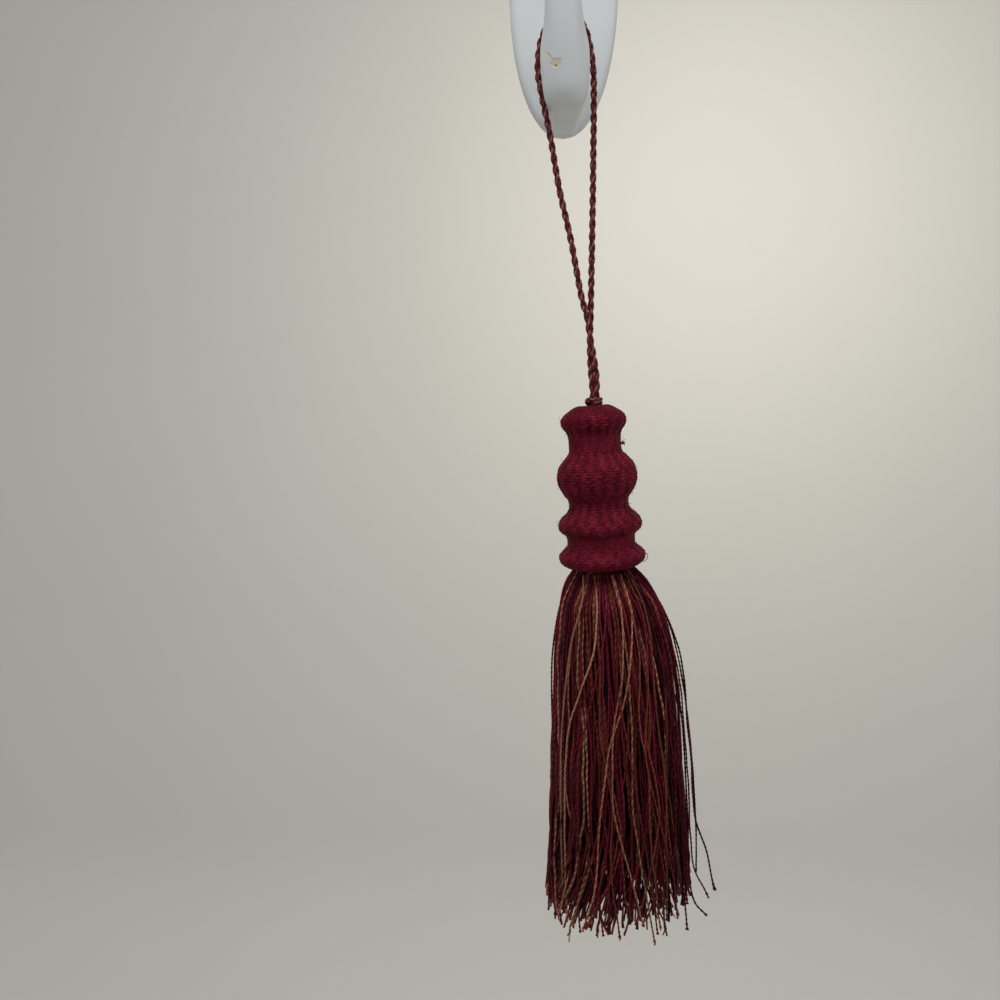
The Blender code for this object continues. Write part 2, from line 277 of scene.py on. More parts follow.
def yarn_material(name, pitch, ply_depth, rough, sheen, fibre_scale=2600.0, fibre_depth=0.00002,
                  variation=0.35, sheen_tint=(0.9, 0.75, 0.8), specular=0.4,
                  specular_tint=(1.0, 1.0, 1.0), low=0.3):
    """Spun, plied yarn: a colour for each ply, ridges that run round it with painted shade in the grooves, fine
    fibres.
    """
    mat, nt, shader = new_material(name)
    tint = node(nt, "ShaderNodeAttribute", attribute_name="tint").outputs["Color"]
    coords = node(nt, "ShaderNodeTexCoord")
    fibres = node(nt, "ShaderNodeTexNoise")
    fibres.inputs["Scale"].default_value = fibre_scale
    fibres.inputs["Detail"].default_value = 4.0
    fibres.inputs["Roughness"].default_value = 0.65
    nt.links.new(coords.outputs["Object"], fibres.inputs["Vector"])
    patches = node(nt, "ShaderNodeTexNoise")
    patches.inputs["Scale"].default_value = 240.0
    patches.inputs["Detail"].default_value = 3.0
    nt.links.new(coords.outputs["Object"], patches.inputs["Vector"])
    uneven = calc(nt, "ADD", calc(nt, "MULTIPLY", patches.outputs["Fac"], variation * 2), 1.0 - variation)
    specks = calc(nt, "ADD", calc(nt, "MULTIPLY", fibres.outputs["Fac"], 0.8), 0.6)
    shade = calc(nt, "MULTIPLY", uneven, specks)
    normal = None
    if pitch:
        ply = node(nt, "ShaderNodeAttribute", attribute_name="ply")
        sep = node(nt, "ShaderNodeSeparateXYZ")
        nt.links.new(ply.outputs["Vector"], sep.inputs[0])
        turn = calc(nt, "MULTIPLY", sep.outputs["Z"], TAU / pitch)
        lie = calc(nt, "ADD", calc(nt, "MULTIPLY", sep.outputs["X"], calc(nt, "COSINE", turn)),
                   calc(nt, "MULTIPLY", sep.outputs["Y"], calc(nt, "SINE", turn)))
        ridge = calc(nt, "POWER", calc(nt, "ABSOLUTE", lie), 0.6)
        # the second ply has its own colour, and the groove between them is painted darker as shade
        other = node(nt, "ShaderNodeAttribute", attribute_name="tint_b").outputs["Color"]
        side = node(nt, "ShaderNodeMapRange")
        side.inputs["From Min"].default_value = -0.15
        side.inputs["From Max"].default_value = 0.15
        nt.links.new(lie, side.inputs["Value"])
        tint = mix_colour(nt, side.outputs[0], tint, other)
        shade = calc(nt, "MULTIPLY", shade, calc(nt, "ADD", calc(nt, "MULTIPLY", ridge, 1.05 - low), low))
        bump = node(nt, "ShaderNodeBump")
        bump.inputs["Strength"].default_value = 1.0
        bump.inputs["Distance"].default_value = ply_depth
        nt.links.new(ridge, bump.inputs["Height"])
        normal = bump.outputs["Normal"]
    scale = node(nt, "ShaderNodeVectorMath", operation="SCALE")
    nt.links.new(tint, scale.inputs[0])
    nt.links.new(shade, scale.inputs["Scale"])
    nt.links.new(scale.outputs[0], shader.inputs["Base Color"])
    fuzz = node(nt, "ShaderNodeBump")
    fuzz.inputs["Strength"].default_value = 0.8
    fuzz.inputs["Distance"].default_value = fibre_depth
    nt.links.new(fibres.outputs["Fac"], fuzz.inputs["Height"])
    if normal is not None:
        nt.links.new(normal, fuzz.inputs["Normal"])
    nt.links.new(fuzz.outputs["Normal"], shader.inputs["Normal"])
    shader.inputs["Roughness"].default_value = rough
    shader.inputs["Specular IOR Level"].default_value = specular
    shader.inputs["Specular Tint"].default_value = (*specular_tint, 1.0)
    shader.inputs["Sheen Weight"].default_value = sheen
    shader.inputs["Sheen Roughness"].default_value = 0.45
    shader.inputs["Sheen Tint"].default_value = (*sheen_tint, 1.0)
    return mat


# ------------------------------------------------------------------ cord loop
CORD_DIAMETER = 1.76 * MM
CORD_PITCH = 5.8 * MM          # one full turn of the two plies
CORD_ROUTE = [
    # place            x       y        z
    ("right foot",    7.16,  -20.10, -106.9),
    ("right 1",       7.04,  -20.00, -105.2),
    ("right 2",       6.84,  -19.90, -102.7),
    ("right 2b",      6.60,  -19.70, -100.2),
    ("right 3",       6.47,  -19.50,  -97.7),
    ("right 3b",      6.38,  -19.20,  -95.1),
    ("right 4",       6.38,  -18.80,  -92.4),
    ("right 4b",      6.52,  -18.25,  -87.0),
    ("right 5",       6.65,  -18.15,  -77.5),
    ("right 6",       6.90,  -17.20,  -60.2),
    ("right 7",       7.02,  -16.40,  -47.0),
    ("right 8",       7.10,  -15.60,  -35.0),
    ("arm right",     6.95,  -14.90,  -26.0),
    ("arm right up",  5.95,  -14.45,  -19.6),
    ("over right",    4.60,  -14.20,  -15.5),
    ("over high r",   2.50,  -14.15,  -13.55),
    ("saddle",       -0.05,  -14.15,  -13.00),
    ("over high l",  -2.60,  -14.15,  -13.55),
    ("over left",    -4.75,  -14.20,  -15.5),
    ("arm left up",  -6.40,  -14.45,  -19.8),
    ("arm left",     -6.90,  -14.90,  -26.0),
    ("left 8",       -5.80,  -15.35,  -32.5),
    ("left 7",       -3.85,  -16.00,  -41.6),
    ("left 6",       -1.50,  -17.00,  -55.0),
    ("left 5",        1.30,  -18.00,  -67.1),
    ("left 4",        4.00,  -19.30,  -81.3),
    ("left 3",        5.60,  -19.80,  -87.1),
    ("left 2c",       6.05,  -20.05,  -90.1),
    ("left 2b",       6.43,  -20.30,  -92.7),
    ("left 2",        6.89,  -20.50,  -95.2),
    ("left 1b",       7.36,  -20.60,  -97.8),
    ("left 1",        7.79,  -20.62, -100.3),
    ("left bend",     8.02,  -20.60, -102.8),
    ("left low",      8.08,  -20.55, -105.2),
    ("left foot",     8.02,  -20.45, -106.9),
]
CORD_YARNS = [
    # yarn          colour
    ("burgundy",   rgb(100, 24, 38)),
    ("plum",       rgb(62, 18, 32)),
    ("brick",      rgb(112, 44, 40)),
    ("fawn",       rgb(144, 96, 84)),
]


def cord_rings(centre, step, diameter, pitch, yarns, rng, phase=0.0, sides=7):
    """Two plies of a few yarns each, twisted round a centre line (points in metres)."""
    points = even(centre, step)
    tangent, side, up = carried_frames(points)
    reach = reach_of(points)
    out = []
    r_ply = diameter * 0.335
    off = diameter * 0.165
    n_yarn = len(yarns)
    waver = waves(rng, reach / MM, 2 * n_yarn, 18, 3, 4)
    for ply in range(2):
        # the plies lie to the left-hand side: their ridges fall from left to right
        a = -TAU * reach / pitch + phase + ply * math.pi
        for y in range(n_yarn):
            b = -a * 1.0 + TAU * reach / (pitch * 1.35) + TAU * y / n_yarn
            r_y = r_ply * (0.56 + 0.02 * waver[ply * n_yarn + y])
            out_off = r_ply - r_y * 0.95
            cx = np.cos(a) * off + np.cos(b) * out_off
            cy = np.sin(a) * off + np.sin(b) * out_off
            line = points + side * cx[:, None] + up * cy[:, None]
            ang = np.arange(sides) / sides * TAU
            ring = (line[:, None, :]
                    + (side[:, None, :] * np.cos(ang)[None, :, None]
                       + up[:, None, :] * np.sin(ang)[None, :, None]) * r_y[:, None, None])
            out.append((ply, y, ring, reach, waver[ply * n_yarn + y]))
    return points, out


def build_cord(name, centre, diameter, pitch, mat, seed, phase=0.0, step=0.00026):
    rng = np.random.default_rng(seed)
    stack = Stack()
    points, rings = cord_rings(centre, step, diameter, pitch, range(4), rng, phase)
    # each ply is its own blend, so the colour beats along the cord
    blends = [[0, 3, 1, 2], [1, 0, 3, 0]]
    for ply, y, ring, reach, waver in rings:
        base = CORD_YARNS[blends[ply][y]][1]
        drift = np.clip(0.5 + 0.45 * waver, 0, 1)[:, None]
        other = CORD_YARNS[(blends[ply][y] + 1) % 4][1]
        tint = base[None, :] * (1 - 0.3 * drift) + other[None, :] * 0.3 * drift
        stack.tubes(ring[None], tint[None, :, None, :], reach[None, :])
    obj = stack.build(name, mat, flip=False)
    return obj, points


cord_mat = yarn_material("cord_yarn", 1.1 * MM, 0.00004, 0.45, 0.03, variation=0.28, specular=0.12,
                         specular_tint=(1.0, 0.8, 0.74), low=0.55)
route = np.array([row[1:] for row in CORD_ROUTE]) * MM
# the loop's two feet run on down through the knot into the crown
foot_r = on_tassel(np.array([0.6]), np.array([-0.25]), np.array([0.5]))[0]
foot_l = on_tassel(np.array([0.6]), np.array([0.7]), np.array([-0.45]))[0]
route = np.vstack((foot_r, route, foot_l))
cord_line = catmull(route)
cord_loop, cord_points = build_cord("cord_loop_rope", cord_line, CORD_DIAMETER, CORD_PITCH, cord_mat, 11)
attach(cord_loop, "root")
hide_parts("cord_loop")

# ------------------------------------------------------------------ knot
KNOT_RADIUS = 1.66            # mm, centre line of the knotted cord
KNOT_RISE = 0.50
KNOT_LIFT = 0.88
u = np.linspace(0, TAU, 160)
turned = math.radians(28)
kx = KNOT_RADIUS * (np.sin(u) + 2 * np.sin(2 * u)) / 3
ky = KNOT_RADIUS * (np.cos(u) - 2 * np.cos(2 * u)) / 3
kz = KNOT_RISE * -np.sin(3 * u)
knot_line = on_tassel(-(KNOT_LIFT + kz), 0.72 + 1.16 * (kx * math.cos(turned) - ky * math.sin(turned)),
                      -0.15 + kx * math.sin(turned) + ky * math.cos(turned))
cord_knot, _ = build_cord("cord_knot_rope", knot_line, 1.42 * MM, 4.4 * MM, cord_mat, 12, step=0.00022)
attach(cord_knot, "root")
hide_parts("cord_knot")

# ------------------------------------------------------------------ head
HEAD_OUTLINE = [
    # name            s      r
    ("crown",        0.55,  0.0),
    ("crown dip",    0.35,  1.6),
    ("crown edge",   0.15,  4.2),
    ("shoulder",     1.75,  7.0),
    ("cap high",     2.80,  8.05),
    ("cap",          3.80,  8.4),
    ("cap low",      5.30,  8.1),
    ("cap foot",     6.80,  7.1),
    ("neck one",     8.40,  6.75),
    ("neck one low",11.80,  6.85),
    ("ball rise",   13.30,  7.9),
    ("ball high",   15.20,  9.45),
    ("ball",        17.00, 10.15),
    ("ball belly",  18.50, 10.35),
    ("ball lower",  20.20, 10.1),
    ("ball fall",   22.20,  9.15),
    ("ball foot",   24.00,  8.0),
    ("neck two",    25.20,  7.65),
    ("neck two low",26.40,  7.8),
    ("flare root",  27.70,  8.55),
    ("flare",       28.80,  9.85),
    ("flare rim",   30.00, 10.6),
    ("flare lip",   31.20, 10.9),
    ("flare low",   32.30, 10.35),
    ("flare under", 33.20,  9.35),
    ("neck three",  34.20,  8.85),
    ("neck 3 low",  36.40,  8.9),
    ("flange top",  37.40,  9.9),
    ("flange rim",  38.60, 11.1),
    ("flange edge", 39.80, 11.25),
    ("flange low",  40.90, 10.6),
    ("flange foot", 41.80,  9.4),
    ("under foot",  41.85,  8.6),
    ("under throat",41.30,  7.8),
]
ROW_PITCH = 0.74              # mm between turns of the winding
ROW_SAMPLES = 6               # mesh rows to a turn
ROUND_SAMPLES = 304
PLY_PITCH = 1.9               # mm for one full twist of the wound yarn
PLY_RADIUS = 0.262
PLY_OFFSET = 0.105
RIBS = 19                     # pairs of upright cords; the winding goes over one and under the next
RIB_FRONT = math.radians(-94.3)
RIB_RISE = 0.11               # mm
RIB_SWING = [
    # The winding changes sides where a bulge is widest: + over the first cord, - over the second.
    #  s      amount
    ( 0.0,   0.00),
    ( 0.7,   0.12),
    ( 1.8,   0.30),
    ( 3.2,   0.45),
    ( 3.7,   0.85),
    ( 5.0,   1.00),
    ( 7.2,   0.95),
    ( 7.8,   0.16),
    (11.6,   0.14),
    (12.2,  -0.75),
    (14.0,  -0.90),
    (16.4,  -0.90),
    (17.1,   0.95),
    (21.5,   1.00),
    (23.4,   0.50),
    (24.0,   0.35),
    (24.5,  -0.55),
    (26.5,  -0.90),
    (29.8,  -1.00),
    (30.4,   0.80),
    (32.8,   0.60),
    (33.4,   0.16),
    (36.2,   0.12),
    (36.7,  -0.75),
    (38.1,  -0.85),
    (38.7,   0.80),
    (40.5,   0.60),
    (41.3,   0.00),
]
# two ply colours, then the darker colour painted into the valleys between the turns as shade
HEAD_COLOURS = (rgb(94, 22, 36), rgb(112, 28, 45), rgb(73, 17, 26))

head_mat = yarn_material("head_yarn", None, 0.0, 0.50, 0.0, fibre_scale=2400, fibre_depth=0.00004,
                         variation=0.30, specular=0.035, specular_tint=(1.0, 0.42, 0.52))


def field(rng, theta, length, span, around, count):
    """Smooth random field over the head: a few waves round it and along its outline."""
    out = np.zeros((len(length), len(theta)))
    for _ in range(count):
        k = rng.integers(0, around + 1)
        q = rng.uniform(0.4, 1.0) * TAU / span
        out += np.cos(k * theta[None, :] + q * length[:, None] * rng.choice((-1, 1)) + rng.uniform(0, TAU)) \
            / math.sqrt(count)
    return out


def build_head():
    rng = np.random.default_rng(5)
    outline = catmull(np.array([(r, s) for _, s, r in HEAD_OUTLINE]), 20)
    outline[:, 0] = np.maximum(outline[:, 0], 0.0)
    fine = even(outline, ROW_PITCH / ROW_SAMPLES)
    reach = reach_of(fine)
    tangent = unit(np.gradient(fine, axis=0))
    normal = np.stack((tangent[:, 1], -tangent[:, 0]), axis=1)     # outwards: (r, s)
    theta = np.arange(ROUND_SAMPLES) / ROUND_SAMPLES * TAU
    # yarn wound so far at each whole turn, so the twist runs on from turn to turn
    wound = np.concatenate(([0.0], np.cumsum(np.diff(reach) * (fine[1:, 0] + fine[:-1, 0]) / 2))) * TAU / ROW_PITCH
    sway = (0.16 * field(rng, theta, reach, 9.0, 5, 10) + 0.12 * field(rng, theta, reach, 3.0, 16, 12)
            + 0.13 * field(rng, theta, reach, 1.6, 44, 18))
    row_place = reach[:, None] / ROW_PITCH - theta[None, :] / TAU + sway
    proud = 0.05 * field(rng, theta, reach, 6.0, 6, 8)
    height = np.full(row_place.shape, -0.30)
    which = np.zeros(row_place.shape)
    for near in (-1, 0, 1):
        row = np.floor(row_place) + near
        across = (row_place - row - 0.5) * ROW_PITCH
        # twist of the yarn at this place on this row
        at = (row + theta[None, :] / TAU + 0.5) * ROW_PITCH
        length = np.interp(at.ravel(), reach, wound).reshape(at.shape)
        wobble = 1.3 * np.sin(row * 2.399 + 0.7) + 1.1 * np.sin(row * 5.1 + theta[None, :] * 3)
        twist = TAU * length / PLY_PITCH + wobble * 2.4
        lift = 0.035 * np.sin(row * 1.7 + 2.0) + 0.025 * np.sin(row * 4.3 + theta[None, :] * 2 + 1.0)
        for ply in (0, 1):
            a = twist + ply * math.pi
            x = PLY_OFFSET * np.cos(a)
            z = PLY_OFFSET * np.sin(a)
            inside = PLY_RADIUS ** 2 - (across - x) ** 2
            h = z + np.sqrt(np.maximum(inside, 0)) + lift
            h = np.where(inside > 0, h, -0.30)
            better = h > height
            height = np.where(better, h, height)
            which = np.where(better, ply + 2 * (row % 3), which)
    height = np.maximum(height, -0.02) + proud
    # over one cord and under the next, each turn a little out of line
    swing = np.interp(fine[:, 1], *np.array(RIB_SWING).T) * np.where(reach < reach[-1] - 1.5, 1.0, 0.0)
    turn = np.floor(row_place)
    slip = math.radians(1.6) * np.sin(turn * 2.7 + 1.0) + math.radians(1.1) * np.sin(turn * 7.3)
    lean = math.radians(1.6) * field(rng, theta, reach, 14.0, 6, 6)
    over = np.tanh(2.0 * np.cos(RIBS * (theta[None, :] - RIB_FRONT - slip - lean))) / math.tanh(2.0)
    uneven = 1 + 0.25 * np.clip(field(rng, theta, reach, 2.4, 24, 12), -1.5, 1.5)
    over = over * swing[:, None] * uneven
    peak = PLY_OFFSET + PLY_RADIUS
    # the winding lies closer and smoother in the two straight necks
    calm = np.interp(fine[:, 1], (7.4, 8.4, 11.2, 12.4, 33.2, 34.2, 36.0, 36.8),
                     (1.0, 0.5, 0.5, 1.0, 1.0, 0.5, 0.5, 1.0))[:, None, None]
    push = np.clip((height - peak) * 0.50 * calm[..., 0], -0.26, 0.08)
    fade = np.clip(fine[:, 0] / 1.2, 0, 1)[:, None]                # calm at the crown's centre
    push = (push + RIB_RISE * over) * fade - 0.2 * (1 - fade)
    r = fine[:, 0][:, None] + push * normal[:, 0][:, None]
    s = fine[:, 1][:, None] + push * normal[:, 1][:, None]
    r = np.maximum(r, 0.02)
    # the mould is a little out of round under its winding
    r = r * (1 + 0.006 * np.cos(2 * theta + 0.6)[None, :] + 0.004 * np.cos(3 * theta + 2.0)[None, :])
    grid = on_tassel(s, r * np.cos(theta)[None, :], r * np.sin(theta)[None, :])
    # colour: one ply a little lighter, valleys painted darker as shade, slow patches
    mix = (which % 2)[..., None]
    base = HEAD_COLOURS[0] * (1 - mix) + HEAD_COLOURS[1] * mix
    slow = np.clip(0.5 + 0.5 * field(rng, theta, reach, 5.0, 9, 10), 0, 1)[..., None]
    patch = field(rng, theta, reach, 2.2, 34, 16)[..., None]
    base = base * (0.84 + 0.29 * slow) * (1 + 0.08 * calm * np.clip(patch, -1.4, 1.4))
    # painted shade: the valleys between the turns get the darker colour, less so in the necks
    depth = np.clip((height + 0.02) / (peak + 0.02), 0, 1)[..., None]
    depth = depth ** 0.9
    depth = 1 - (1 - depth) * calm
    tint = HEAD_COLOURS[2] * (1 - depth) + base * depth
    # painted highlight and shade: lighter where the winding rides over a cord, darker where it dips under
    tint = tint * (1 + 0.22 * over[..., None])
    # the crown is painted a little darker
    tint = tint * (1 - 0.20 * np.clip((3.8 - fine[:, 1]) / 1.6, 0, 1))[:, None, None]
    ply_at = np.zeros(grid.shape)
    ply_at[..., 0] = 1.0
    made = []
    cut = int(np.argmin(np.abs(fine[:, 1] - 25.6) + (reach < 20) * 99))
    for name, a, b in (("head_wound_upper", 0, cut + 1), ("head_wound_lower", cut, len(fine))):
        stack = Stack()
        stack.surface(grid[a:b], tint[a:b], ply_at[a:b])
        obj = stack.build(name, head_mat, flip=True)
        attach(obj, "root")
        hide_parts("head")
        made.append(obj)
    return made


build_head()


def hair_tube(stack, line, radius, colour):
    """One fine thread along a line of points in the tassel's own mm."""
    points = on_tassel(line[:, 0], line[:, 1], line[:, 2])
    tangent, side, up = carried_frames(points)
    a = np.arange(4) / 4 * TAU
    ring = points[:, None, :] + (side[:, None, :] * np.cos(a)[None, :, None]
                                 + up[:, None, :] * np.sin(a)[None, :, None]) * radius * MM
    stack.tubes(ring[None], np.broadcast_to(colour, (1, 1, 1, 3)), reach_of(points)[None, :])


def build_hairs():
    rng = np.random.default_rng(31)
    stack = Stack()
    outline = catmull(np.array([(s, r) for _, s, r in HEAD_OUTLINE[2:-2]]), 8)
    for _ in range(150):
        s = rng.uniform(1.0, 40.8)
        r = np.interp(s, outline[:, 0], outline[:, 1]) - 0.05
        a = rng.uniform(0, TAU)
        long = rng.uniform(0.35, 0.95)
        t = np.linspace(0, 1, 5)
        swing, drop = rng.normal(0, 0.5), rng.normal(0, 0.45)
        out = r + long * np.sin(t * math.pi * rng.uniform(0.45, 0.95))
        line = np.stack((s + drop * t, out * np.cos(a + swing * t / r), out * np.sin(a + swing * t / r)), axis=1)
        hair_tube(stack, line, 0.035, rgb(140, 36, 56))
    # a tuft pulled out of the upper neck, at the right
    for k in range(6):
        t = np.linspace(0, 1, 7)
        curl = rng.uniform(-1, 1, 2)
        line = np.stack((10.2 + 0.35 * np.sin(t * 4 + k) + 0.35 * curl[0] * t,
                         6.55 + 1.0 * t + 0.20 * np.sin(t * 6 + k),
                         -0.5 + 0.5 * np.cos(t * 5 + k) + 0.5 * curl[1] * t), axis=1)
        hair_tube(stack, line, 0.10, rgb(64, 12, 22))
    # a slack loop of thread at the flange's right edge
    t = np.linspace(0, 1, 15)
    loop = catmull(np.array([(39.3, 10.9, -0.6), (39.6, 11.6, -0.5), (40.6, 11.85, -0.3), (41.6, 11.2, -0.1),
                             (41.7, 10.2, 0.0), (41.3, 9.3, 0.1)]), 5)
    hair_tube(stack, loop, 0.08, rgb(90, 18, 28))
    obj = stack.build("head_hairs", head_mat)
    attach(obj, "root")
    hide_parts("head")


build_hairs()

# ------------------------------------------------------------------ skirt
SKIRT_SECTIONS = [
    #  s      r     shift
    ( 40.8,   6.9,  0.0),
    ( 42.3,   7.7,  0.1),
    ( 44.4,   9.6,  0.2),
    ( 47.0,  11.4,  0.5),
    ( 51.0,  13.0,  0.9),
    ( 57.0,  14.6,  1.3),
    ( 65.0,  16.3,  1.6),
    ( 74.0,  17.2,  1.8),
    ( 84.0,  18.0,  1.7),
    ( 95.0,  18.9,  1.4),
    (105.0,  19.5,  1.2),
    (114.0,  19.8,  0.9),
    (121.0,  20.0,  0.6),
    (127.0,  20.1,  0.4),
    (132.0,  20.2,  0.2),
    (140.0,  20.3,  0.0),
]
FORWARD = 6.0                 # how far the foot's left side is pressed forward, mm
YARN = {
    # name       colour
    "burgundy": rgb(96, 20, 32),
    "crimson":  rgb(112, 18, 42),
    "plum":     rgb(54, 16, 36),
    "brick":    rgb(108, 40, 34),
    "copper":   rgb(134, 70, 56),
    "tan":      rgb(186, 131, 106),
    "olive":    rgb(84, 56, 36),
    "mauve":    rgb(114, 54, 60),
    "dark":     rgb(32, 15, 15),
}
# A strand is spun from two plies; the weights say how often each pair turns up.
BLENDS = [
    # one ply     the other    weight
    ("burgundy", "burgundy",   12),
    ("burgundy", "brick",       9),
    ("crimson",  "crimson",     8),
    ("crimson",  "burgundy",    8),
    ("brick",    "brick",       4),
    ("brick",    "copper",      6),
    ("copper",   "burgundy",    5),
    ("tan",      "copper",      3),
    ("tan",      "brick",       3),
    ("tan",      "olive",       2),
    ("olive",    "brick",       5),
    ("plum",     "burgundy",    7),
    ("plum",     "dark",        6),
    ("mauve",    "burgundy",    7),
    ("mauve",    "plum",        5),
    ("dark",     "burgundy",    5),
    ("dark",     "dark",        3),
]
# Where the blends gather: degrees from the front to the right, width, yarn, how much more
GATHERED = [
    (-55, 16, "copper", 2.2),
    (-48, 14, "tan", 2.0),
    (-28,  9, "plum", 2.0),
    ( -6,  9, "crimson", 3.0),
    ( 12,  8, "copper", 2.4),
    ( 20,  6, "brick", 2.0),
    ( 30,  8, "dark", 2.4),
    ( 37,  6, "olive", 2.0),
    ( 58, 20, "burgundy", 2.0),
    ( 66, 14, "crimson", 2.0),
    ( 62,  9, "copper", 2.6),
    ( 76, 12, "brick", 2.6),
    ( 86, 14, "burgundy", 1.8),
    (150, 25, "brick", 1.6),
    (215, 25, "crimson", 1.6),
]
STRANDS = 980
STRAND_WIDE = 0.54            # mm
INNER_SHARE = 0.45            # the inner half of the strands is seen only between the others
LAID_OVER = [
    # strands that lie over the others: two plies, then (s, sideways, share of the radius)
    (("tan", "tan"),        [(43.4, -2.6, .95), (50.6, -3.0, .99), (60.1, -4.6, 1.03), (70.2, -8.4, 1.03), (81.1, -12.2, 1.02), (97.4, -14.4, 1.02), (116.0, -15.6, 1.0), (131.5, -16.3, 1.0)]),
    (("tan", "tan"),        [(43.4, -5.4, .95), (48.4, -6.2, .99), (58.2, -9.7, 1.03), (71.1, -12.3, 1.03), (84.7, -14.2, 1.0), (104.0, -15.8, 1.0), (130.0, -17.0, 1.0)]),
    (("mauve", "crimson"),  [(45.0, -0.2, .95), (52.0, -1.0, 1.0), (60.1, -2.6, 1.03), (69.9, -5.4, 1.03), (80.3, -8.3, 1.02), (89.7, -10.6, 1.0), (110.0, -12.4, 1.0), (133.0, -13.2, 1.0)]),
    (("tan", "copper"),     [(43.4, 2.0, .95), (52.0, 3.0, 1.0), (66.0, 1.8, 1.02), (80.0, -1.3, 1.02), (89.9, -2.3, 1.03), (98.8, -2.7, 1.03), (107.8, -1.5, 1.03), (115.7, 0.1, 1.02), (121.7, 1.3, 1.02), (131.0, 2.8, 1.0)]),
    (("copper", "tan"),     [(43.4, 4.0, .95), (54.0, 5.4, 1.0), (70.0, 2.6, 1.01), (84.0, -2.4, 1.02), (92.6, -4.4, 1.03), (103.1, -6.3, 1.03), (111.2, -7.3, 1.03), (122.5, -9.2, 1.02), (132.6, -12.6, 1.0)]),
    (("copper", "copper"),  [(43.4, 6.0, .95), (50.0, 8.6, 1.0), (60.0, 9.8, 1.02), (76.0, 9.6, 1.02), (92.0, 10.8, 1.02), (112.0, 10.0, 1.02), (131.0, 9.0, 1.0)]),
    (("copper", "brick"),   [(43.4, -2.4, .95), (52.0, -3.6, 1.0), (64.0, -3.4, 1.02), (80.0, -4.6, 1.01), (98.0, -3.0, 1.02), (116.0, -4.4, 1.02), (134.0, -3.2, 1.0)]),
    (("copper", "copper"),  [(43.2, 3.2, .95), (50.0, 5.0, 1.0), (62.0, 6.4, 1.02), (78.0, 5.2, 1.02), (92.0, 6.6, 1.01), (108.0, 6.0, 1.02), (133.0, 7.2, 1.0)]),
    (("plum", "burgundy"),  [(43.6, 7.6, .96), (52.0, 10.8, 1.02), (61.0, 13.0, 1.02), (78.0, 14.0, 1.0), (98.0, 15.4, 1.0), (130.0, 15.0, 1.0)]),
    (("crimson", "burgundy"),[(43.2, -3.6, .95), (52.0, -6.6, 1.0), (66.0, -8.0, 1.02), (84.0, -7.0, 1.02), (104.0, -8.4, 1.02), (133.0, -7.4, 1.0)]),
    (("burgundy", "mauve"), [(43.2, 0.6, .95), (54.0, 1.8, 1.0), (68.0, 0.4, 1.02), (88.0, 2.4, 1.02), (110.0, 4.6, 1.02), (134.0, 6.4, 1.0)]),
    (("brick", "copper"),   [(43.4, 5.4, .95), (54.0, 8.4, 1.0), (70.0, 8.0, 1.02), (86.0, 6.2, 1.02), (104.0, 8.6, 1.02), (118.0, 11.2, 1.02), (132.0, 12.0, 1.0)]),
]
STRAYS = [
    # strands that stand off the skirt: two plies, then (s, sideways, towards the wall)
    (("dark", "brick"),     [(43.0, 6.4, 0.5), (49.6, 12.0, 0.2), (53.8, 14.4, 0.0), (58.6, 16.6, 0.0), (66.4, 18.7, 0.0), (74.8, 19.6, -0.5), (84.0, 19.7, -1.0), (97.0, 20.2, -1.0), (112.3, 20.3, -2.0), (122.0, 22.6, -3.0), (133.1, 24.2, -4.0)]),
    (("brick", "burgundy"), [(43.0, 6.2, -2.4), (52.0, 12.6, -4.6), (66.0, 16.8, -5.0), (84.0, 18.2, -4.4), (104.0, 18.7, -3.4), (118.8, 18.7, -3.0), (126.4, 18.9, -4.0), (131.7, 21.2, -5.0), (133.9, 22.1, -6.0)]),
    (("dark", "burgundy"),  [(43.0, 5.6, -3.6), (52.0, 11.6, -6.2), (66.0, 15.8, -7.4), (86.0, 17.4, -7.0), (108.0, 17.6, -6.4), (125.6, 17.2, -6.4), (132.9, 17.8, -8.2), (136.2, 20.6, -10.0)]),
    (("burgundy", "brick"), [(43.0, 4.8, -4.6), (53.0, 9.6, -8.6), (70.0, 13.0, -10.6), (94.0, 14.8, -11.6), (119.4, 15.1, -11.8), (129.3, 14.7, -13.0), (137.0, 14.6, -14.0)]),
    (("tan", "olive"),      [(43.2, 1.6, -7.4), (54.0, 3.0, -13.0), (76.0, 3.4, -17.0), (98.0, 2.2, -19.0), (113.2, 3.0, -20.0), (128.1, 4.7, -20.2), (136.0, 5.3, -20.2)]),
    (("plum", "burgundy"),  [(43.2, 6.8, 1.6), (51.0, 13.2, 2.4), (60.0, 17.0, 2.4), (74.0, 19.3, 1.6), (92.0, 20.6, 1.0), (114.0, 20.9, 0.4), (131.0, 20.4, 1.0)]),
    (("burgundy", "brick"), [(43.0, -6.8, 1.0), (52.0, -11.6, 2.0), (66.0, -14.9, 2.4), (88.0, -16.6, 1.0), (112.0, -18.4, -3.0), (126.0, -18.9, -5.4), (132.0, -20.2, -6.6)]),
    (("brick", "dark"),     [(43.0, -3.0, 6.6), (54.0, -6.4, 12.2), (76.0, -9.0, 15.6), (104.0, -11.0, 16.6), (122.0, -12.4, 17.0), (130.5, -14.0, 17.4)]),
    (("crimson", "plum"),   [(43.0, 4.0, 6.2), (54.0, 8.6, 11.0), (76.0, 11.6, 14.6), (104.0, 13.4, 16.0), (124.0, 15.2, 17.0), (133.5, 18.0, 17.8)]),
]

strand_mat = yarn_material("strand_yarn", 2.0 * MM, 0.00008, 0.42, 0.0, fibre_scale=3000,
                           fibre_depth=0.00002, variation=0.30, specular=0.07,
                           specular_tint=(1.0, 0.74, 0.66), low=0.34)
sections = catmull(np.array(SKIRT_SECTIONS), 12)


def skirt_at(s):
    return (np.interp(s, sections[:, 0], sections[:, 1]), np.interp(s, sections[:, 0], sections[:, 2]))


